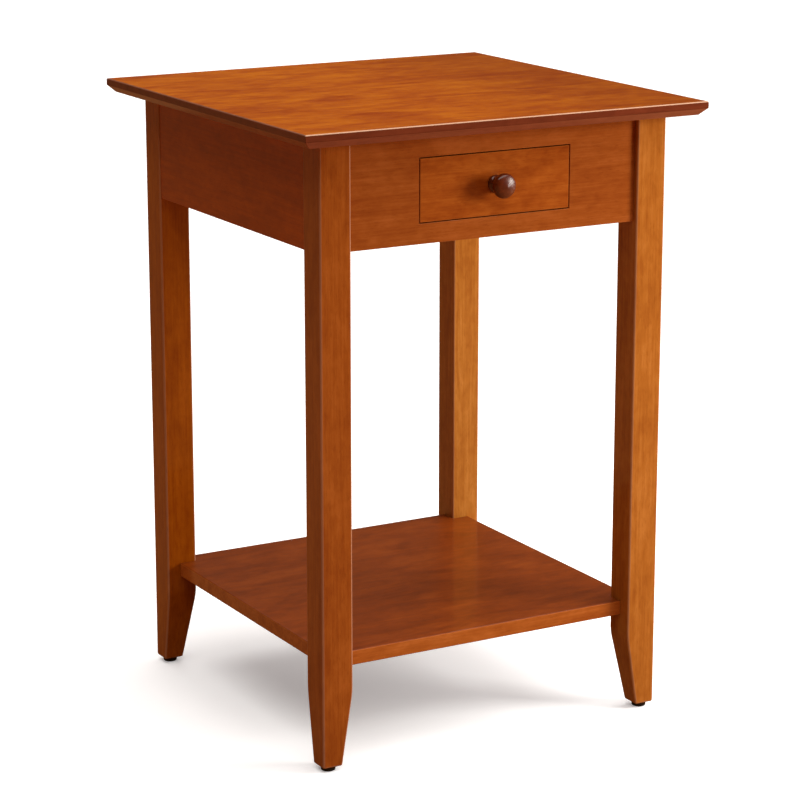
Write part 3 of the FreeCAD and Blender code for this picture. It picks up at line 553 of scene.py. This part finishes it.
def start_block(name, low, high):
    """A cube primitive stretched to fill the box between two corners, with its place in its mesh."""
    clear_selection()
    bpy.ops.mesh.primitive_cube_add(size=1, location=(Vector(low) + Vector(high)) / 2)
    block = bpy.context.object
    block.name = name
    block.scale = Vector(high) - Vector(low)
    bpy.ops.object.transform_apply(location=True, rotation=True, scale=True)
    return block


def pick(piece, kind, wanted):
    """In edit mode, select only the faces, edges or vertices whose middle passes the test."""
    bpy.ops.mesh.select_mode(type={"faces": "FACE", "edges": "EDGE", "vertices": "VERT"}[kind])
    bpy.ops.mesh.select_all(action="DESELECT")
    bpy.ops.object.mode_set(mode="OBJECT")
    mesh = piece.data
    for item in {"faces": mesh.polygons, "edges": mesh.edges, "vertices": mesh.vertices}[kind]:
        if kind == "faces":
            middle = item.center
        elif kind == "edges":
            middle = (mesh.vertices[item.vertices[0]].co + mesh.vertices[item.vertices[1]].co) / 2
        else:
            middle = item.co
        item.select = bool(wanted(middle, item))
    bpy.ops.object.mode_set(mode="EDIT")


def saw(piece, point, normal):
    """Cut a line of edges round the whole piece where a plane crosses it."""
    bpy.ops.mesh.select_all(action="SELECT")
    bpy.ops.mesh.bisect(plane_co=point, plane_no=normal)


def level_shading(piece):
    """Let the large flat faces set the shading, so that only the arrises look round."""
    bpy.ops.object.shade_smooth_by_angle(angle=math.radians(60))
    weighted = piece.modifiers.new("level shading", "WEIGHTED_NORMAL")
    weighted.weight = 100
    bpy.context.view_layer.objects.active = piece
    bpy.ops.object.modifier_apply(modifier=weighted.name)


def ease_arrises(piece, width, steps, rub_and_highlight, angle=30):
    """Round each sharp edge with a bevel modifier and paint the new faces paler: wear and highlight.

    The bevel marks its new faces with a second material place, which only serves to find them.
    """
    piece.data.materials.append(None)
    piece.data.materials.append(None)
    bevel = piece.modifiers.new("eased arrises", "BEVEL")
    bevel.width = width
    bevel.segments = steps
    bevel.limit_method = "ANGLE"
    bevel.angle_limit = math.radians(angle)
    bevel.material = 1
    bpy.context.view_layer.objects.active = piece
    bpy.ops.object.modifier_apply(modifier=bevel.name)
    # How much paler the bevel faces are painted: worn stain and a painted highlight.
    rubbed_and_highlit = piece.data.attributes.new("rubbed_and_highlit", "FLOAT", "FACE")
    for face in piece.data.polygons:
        rubbed_and_highlit.data[face.index].value = rub_and_highlight if face.material_index == 1 else 0.0
        face.material_index = 0
    level_shading(piece)


def close_up(piece):
    """Merge doubled points, turn every face outwards and shade by angle."""
    clear_selection()
    piece.select_set(True)
    bpy.context.view_layer.objects.active = piece
    bpy.ops.object.mode_set(mode="EDIT")
    bpy.ops.mesh.select_all(action="SELECT")
    bpy.ops.mesh.remove_doubles(threshold=0.00001)
    bpy.ops.mesh.normals_make_consistent(inside=False)
    bpy.ops.object.mode_set(mode="OBJECT")
    bpy.ops.object.shade_smooth_by_angle(angle=math.radians(35))


def settle(piece, node, body, materials):
    """Give the piece its finish and let it stand for its engineering node."""
    piece.data.materials.clear()
    for material in materials:
        piece.data.materials.append(material)
    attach(piece, body)
    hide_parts(node)
    print(f"{piece.name}: {len(piece.data.polygons)} faces")
    return piece


# %% [markdown]
# ## The top
# The top is one board. Its upper edge is a thin upright lip, and below the lip a bevel runs in to the
# underside, which makes a thick board look light. The lip is a low block here. Its lower face is
# extruded down and drawn in, as a panel-raising cutter would leave it, and the bevel keeps its sharp
# mitre at each corner. The lip drinks more stain than the face, so it is darker and redder. The bevel
# below it is painted paler and greyer, a painted reflection of the pale floor. The upper arris carries
# a painted highlight along the front, and a little wear on the other sides.

# %% Shape the top
TOP_LIP = 0.0065
TOP_BEVEL = 0.007
TOP_ROUND = 0.0014
# How strongly the front upper arris is painted pale: a painted highlight.
FRONT_ARRIS_HIGHLIGHT = 0.55
OTHER_RUB = 0.1


def make_top():
    """The top board with its lip and under-bevel."""
    low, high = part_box("tabletop")
    block = start_block("top_board", (low.x, low.y, high.z - TOP_LIP), high)
    bpy.ops.object.mode_set(mode="EDIT")
    lip_bottom = high.z - TOP_LIP
    pick(block, "faces", lambda middle, face: abs(middle.z - lip_bottom) < CLOSE)
    bpy.ops.mesh.extrude_region_move(TRANSFORM_OT_translate={"value": (0, 0, -TOP_BEVEL)})
    shares = [1 - 2 * TOP_BEVEL / size for size in (high.x - low.x, high.y - low.y)]
    bpy.ops.transform.resize(value=(*shares, 1), center_override=(0, 0, low.z))
    pick(block, "edges", lambda middle, edge: abs(middle.z - high.z) < CLOSE)
    bpy.ops.mesh.bevel(offset=TOP_ROUND, segments=4, profile=0.5, affect="EDGES")
    bpy.ops.object.mode_set(mode="OBJECT")
    close_up(block)
    ease_arrises(block, width=0.0005, steps=2, rub_and_highlight=0.25, angle=25)
    settle(block, "tabletop", "frame", [top_wood, edge_wood, bevel_wood])
    face_wood, lip_wood, under_wood = range(3)
    rubbed_and_highlit = block.data.attributes["rubbed_and_highlit"]
    for face in block.data.polygons:
        if face.center.z > high.z - 0.00001 or face.normal.z < -0.99:
            face.material_index = face_wood
        elif face.center.z > high.z - TOP_ROUND:
            face.material_index = lip_wood
            # Painted highlight on the front upper arris, a little wear on the others.
            wear_and_highlight_share = FRONT_ARRIS_HIGHLIGHT if face.normal.y < -0.1 else OTHER_RUB
            rubbed_and_highlit.data[face.index].value = wear_and_highlight_share if face.normal.z > 0.3 else 0.0
        else:
            # Faces below the lip take the bevel's painted reflection of the floor.
            face.material_index = lip_wood if face.center.z > lip_bottom - 0.0002 else under_wood
            rubbed_and_highlit.data[face.index].value = 0.0


make_top()

# %% [markdown]
# ## The legs
# Each leg is a square post. Its two outer faces run straight to the floor, and its two inner faces
# taper from just under the shelf to a small square foot, with a soft knee where the taper starts.
# The post is sawn through at the knee, and the foot's face is then shrunk towards the outer corner,
# which slants only the two inner faces. Each leg is cut from its own stick, so each has its own grain.
# Its tone is partly its own and partly painted light and sheen, paler on the two right legs, and the
# arrises that face the front carry a painted highlight, brightest on the right-hand arris.

# %% Shape the legs
TAPER_HEIGHT = 0.071
FOOT_SIDE = 0.0205
KNEE_LENGTH = 0.006
LEG_ROUND = 0.0018
# How pale the leg arrises are painted: wear all round, and a painted highlight on the front ones.
LEG_WEAR_AND_HIGHLIGHT, FRONT_LEFT_HIGHLIGHT, FRONT_RIGHT_HIGHLIGHT = 0.2, 0.3, 0.65
LEGS = [("front_left", -1, -1), ("front_right", 1, -1), ("back_right", 1, 1), ("back_left", -1, 1)]
# Each leg's tone: partly its own stick, partly painted light and sheen, paler and bluer on the right
# legs.
LEG_TONES_AND_LIGHT = {
    "front_left": toned(FRAME_TONES, 1.02, 1.14, 3.0),
    "front_right": toned(FRAME_TONES, 1.28, 1.95, 6.5),
    "back_right": toned(FRAME_TONES, 1.4, 2.4, 9.0),
    "back_left": toned(FRAME_TONES, 1.04, 1.08, 0.8),
}


def make_leg(corner, side_x, side_y):
    """One leg, tapered on the faces that look into the table."""
    low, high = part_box(f"leg_{corner}")
    block = start_block(f"leg_post_{corner}", low, high)
    side = high.x - low.x
    knee = low.z + TAPER_HEIGHT
    outer = Vector((high.x if side_x > 0 else low.x, high.y if side_y > 0 else low.y, low.z))
    bpy.ops.object.mode_set(mode="EDIT")
    saw(block, (0, 0, knee), (0, 0, 1))
    pick(block, "faces", lambda middle, face: abs(middle.z - low.z) < CLOSE)
    bpy.ops.transform.resize(value=(FOOT_SIDE / side, FOOT_SIDE / side, 1), center_override=outer)
    pick(block, "edges", lambda middle, edge: abs(middle.z - knee) < CLOSE)
    bpy.ops.mesh.bevel(offset=KNEE_LENGTH, segments=4, profile=0.5, affect="EDGES")
    bpy.ops.object.mode_set(mode="OBJECT")
    close_up(block)
    ease_arrises(block, width=LEG_ROUND, steps=4, rub_and_highlight=LEG_WEAR_AND_HIGHLIGHT)
    rubbed_and_highlit = block.data.attributes["rubbed_and_highlit"]
    # The arrises between a front face and a side face get a painted highlight, stronger on the right.
    for face in block.data.polygons:
        across, ahead = abs(face.normal.x), -face.normal.y
        between_faces = ahead > 0.3 and abs(across - ahead) < 0.45
        if between_faces and rubbed_and_highlit.data[face.index].value > 0:
            rubbed_and_highlit.data[face.index].value = FRONT_RIGHT_HIGHLIGHT if face.normal.x > 0 else FRONT_LEFT_HIGHLIGHT
    shift = (side_x * 1.7 + 3.1, side_y * 2.3 + 5.2, side_x * side_y * 0.9)
    wood = stained_wood(f"cherry leg {corner.replace('_', ' ')}", "Z", LEG_TONES_AND_LIGHT[corner], shift,
                        arris=LEG_ARRIS_WEAR_AND_HIGHLIGHT)
    settle(block, f"leg_{corner}", "frame", [wood])


for leg in LEGS:
    make_leg(*leg)

# %% [markdown]
# ## The aprons
# The four aprons are plain boards between the legs, with their grain level. The front one has an
# opening for the drawer. It is sawn along the four lines of the opening, the two faces between the
# cuts are taken out, and their rims are bridged, which leaves the wood's own thickness showing.

# %% Shape the aprons
DRAWER_GAP = 0.001


def make_apron(name):
    """A plain board with eased edges."""
    low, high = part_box(f"{name}_apron")
    block = start_block(f"apron_board_{name}", low, high)
    ease_arrises(block, width=0.0008, steps=3, rub_and_highlight=0.3)
    settle(block, f"{name}_apron", "frame", [apron_wood[name]])


def make_front_apron():
    """The board that the drawer comes out of."""
    low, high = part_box("front_apron")
    drawer_low, drawer_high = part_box("drawer_front")
    left, right = drawer_low.x - DRAWER_GAP, drawer_high.x + DRAWER_GAP
    bottom, top_edge = drawer_low.z - DRAWER_GAP, drawer_high.z + DRAWER_GAP
    block = start_block("apron_board_front", low, high)
    bpy.ops.object.mode_set(mode="EDIT")
    for x in (left, right):
        saw(block, (x, 0, 0), (1, 0, 0))
    for z in (bottom, top_edge):
        saw(block, (0, 0, z), (0, 0, 1))
    pick(block, "faces", lambda middle, face: abs(face.normal.y) > 0.9
         and left < middle.x < right and bottom < middle.z < top_edge)
    bpy.ops.mesh.delete(type="ONLY_FACE")
    pick(block, "edges", lambda middle, edge: left - CLOSE < middle.x < right + CLOSE
         and bottom - CLOSE < middle.z < top_edge + CLOSE)
    bpy.ops.mesh.bridge_edge_loops()
    bpy.ops.object.mode_set(mode="OBJECT")
    close_up(block)
    ease_arrises(block, width=0.0005, steps=2, rub_and_highlight=0.2)
    settle(block, "front_apron", "frame", [apron_wood["front"]])


make_front_apron()
for name in ("back", "left", "right"):
    make_apron(name)

# %% [markdown]
# ## The shelf
# The shelf is one board, notched at its corners to pass between the legs. It is drawn flat first: a
# plane, sawn along the four lines of the notches, its four corner squares deleted, and the rest
# extruded to its thickness. Cutting the notches out of a finished block would need four cutters. The
# face is painted dark, as painted shade under the top, and the edges all round are painted lighter, as
# painted light.

# %% Shape the shelf
NOTCH_GAP = 0.0005


def make_shelf():
    """The notched shelf."""
    low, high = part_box("shelf")
    _, leg_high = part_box("leg_front_left")
    notch_x = -leg_high.x
    notch_y = -leg_high.y - NOTCH_GAP
    clear_selection()
    bpy.ops.mesh.primitive_plane_add(size=1, location=(0, 0, low.z))
    board = bpy.context.object
    board.name = "shelf_board"
    board.scale = (high.x - low.x, high.y - low.y, 1)
    bpy.ops.object.transform_apply(location=True, rotation=True, scale=True)
    bpy.ops.object.mode_set(mode="EDIT")
    for x in (-notch_x, notch_x):
        saw(board, (x, 0, 0), (1, 0, 0))
    for y in (-notch_y, notch_y):
        saw(board, (0, y, 0), (0, 1, 0))
    pick(board, "faces", lambda middle, face: abs(middle.x) > notch_x and abs(middle.y) > notch_y)
    bpy.ops.mesh.delete(type="FACE")
    bpy.ops.mesh.select_all(action="SELECT")
    bpy.ops.mesh.extrude_region_move(TRANSFORM_OT_translate={"value": (0, 0, high.z - low.z)})
    bpy.ops.object.mode_set(mode="OBJECT")
    close_up(board)
    ease_arrises(board, width=0.0010, steps=3, rub_and_highlight=0.15)
    settle(board, "shelf", "frame", [shelf_shaded_wood, shelf_lit_edge_wood])
    # Upright edge faces take the painted light, the flat faces the painted shade.
    for face in board.data.polygons:
        upright = abs(face.normal.z) < 0.7
        face.material_index = 1 if upright else 0


make_shelf()

# %% [markdown]
# ## The drawer's face and its knob
# The face is a plain board, flush with the apron, with a hairline gap all round. The knob is turned:
# a ring against the face, a cove down to a thin waist, a flare, and a domed head. A disc is extruded
# ring by ring, and each ring is drawn in or out, as a lathe tool follows its outline. Subdivision then
# rounds it.

# %% Shape the drawer's face
def make_drawer_face():
    """The board that closes the opening."""
    low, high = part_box("drawer_front")
    block = start_block("drawer_face", low, high)
    ease_arrises(block, width=0.0006, steps=3, rub_and_highlight=0.3)
    settle(block, "drawer_front", "drawer", [drawer_wood])


make_drawer_face()

# %% Turn the knob
KNOB_BASE = 0.0085
KNOB_WAIST = 0.00525


def make_knob():
    """A mushroom knob, turned ring by ring from its base to its crown."""
    low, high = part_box("knob")
    centre = (low + high) / 2
    head = (high.x - low.x) / 2
    reach = high.y - low.y
    # Each ring is how far it stands out from the face, and its radius.
    rings = [(0.0, KNOB_BASE), (0.0003, KNOB_BASE), (0.0016, KNOB_BASE), (0.0020, KNOB_BASE - 0.0005),
             (0.0032, KNOB_WAIST + 0.0012), (0.0052, KNOB_WAIST), (0.0070, KNOB_WAIST + 0.0006),
             (0.0087, KNOB_WAIST + 0.0024), (0.0103, head * 0.77), (0.0121, head * 0.92),
             (0.0138, head), (0.0157, head), (0.0172, head * 0.97), (0.0184, head * 0.89),
             (0.0192, head * 0.78), (0.0201, head * 0.60), (0.0208, head * 0.38),
             (0.0212, head * 0.18), (reach, head * 0.04)]
    clear_selection()
    bpy.ops.mesh.primitive_circle_add(vertices=32, radius=KNOB_BASE, fill_type="NGON",
                                      location=(0, 0, 0), rotation=(math.pi / 2, 0, 0))
    knob = bpy.context.object
    knob.name = "turned_knob"
    knob.location = (centre.x, high.y, centre.z)
    bpy.ops.object.transform_apply(location=True, rotation=True, scale=True)
    bpy.ops.object.mode_set(mode="EDIT")
    bpy.ops.mesh.select_all(action="SELECT")
    for (before, radius_before), (after, radius) in zip(rings, rings[1:]):
        bpy.ops.mesh.extrude_region_move(TRANSFORM_OT_translate={"value": (0, before - after, 0)})
        bpy.ops.transform.resize(value=(radius / radius_before, 1, radius / radius_before),
                                 center_override=(centre.x, high.y - after, centre.z))
    bpy.ops.object.mode_set(mode="OBJECT")
    close_up(knob)
    smooth = knob.modifiers.new("smooth turning", "SUBSURF")
    smooth.levels = smooth.render_levels = 2
    bpy.context.view_layer.objects.active = knob
    bpy.ops.object.modifier_apply(modifier=smooth.name)
    bpy.ops.object.shade_smooth()
    wood = stained_wood("dark cherry knob", "Y", KNOB_TONES, (2.2, 4.1, 7.3), PLAIN, 0.9)
    return settle(knob, "knob", "drawer", [wood])


knob = make_knob()

# %% [markdown]
# ## A glint on the knob
# The knob is the one piece whose round edge should catch the low panels. A copy of each panel gives
# only its gloss, and only to the knob.

# %% Let the panels glint on the knob
GLINT_BOOST = 3.0

only_knob = bpy.data.collections.new("pieces that the panels glint on")
only_knob.objects.link(knob)
for panel in panels:
    glint = panel.copy()
    glint.name = f"{panel.name}, glint on the knob"
    glint.data = panel.data.copy()
    glint.data.energy *= GLINT_BOOST
    bpy.context.scene.collection.objects.link(glint)
    glint.visible_glossy = True
    glint.visible_diffuse = False
    glint.light_linking.receiver_collection = only_knob

# %% [markdown]
# ## The pieces that stay as engineered
# The drawer's box, its guides, the corner blocks and the hardware already have their true shape in the
# engineering model, down to the grooves and the holes. They keep it, and only get their finishes. The
# grain follows the length of each piece.

# %% Finish the engineered pieces
LENGTHWAYS = ("runner", "kicker", "stop", "drawer_left_side", "drawer_right_side", "front_dowels")


def finish_engineered_pieces():
    """Give each engineering node that still shows the finish that its slot names."""
    finished = {}
    for part in frame["record"]["subparts"]:
        name = part["node"]
        axis = "Y" if any(word in name for word in LENGTHWAYS) else "X"
        finish = {
            "plain_wood": softwood[axis],
            "drawer_box_wood": hardwood[axis],
            "dowel_wood": hardwood[axis],
            "fibreboard": board_brown,
            "steel": steel,
            "glide_plastic": black_plastic,
            "button_plastic": tan_plastic,
        }.get(part["material_slot"])
        if finish is None:
            continue
        for place in nodes[name].material_slots:
            place.material = finish
        finished.setdefault(finish.name, []).append(name)
    return finished


for finish, names in finish_engineered_pieces().items():
    print(f"{finish}: {len(names)} nodes")
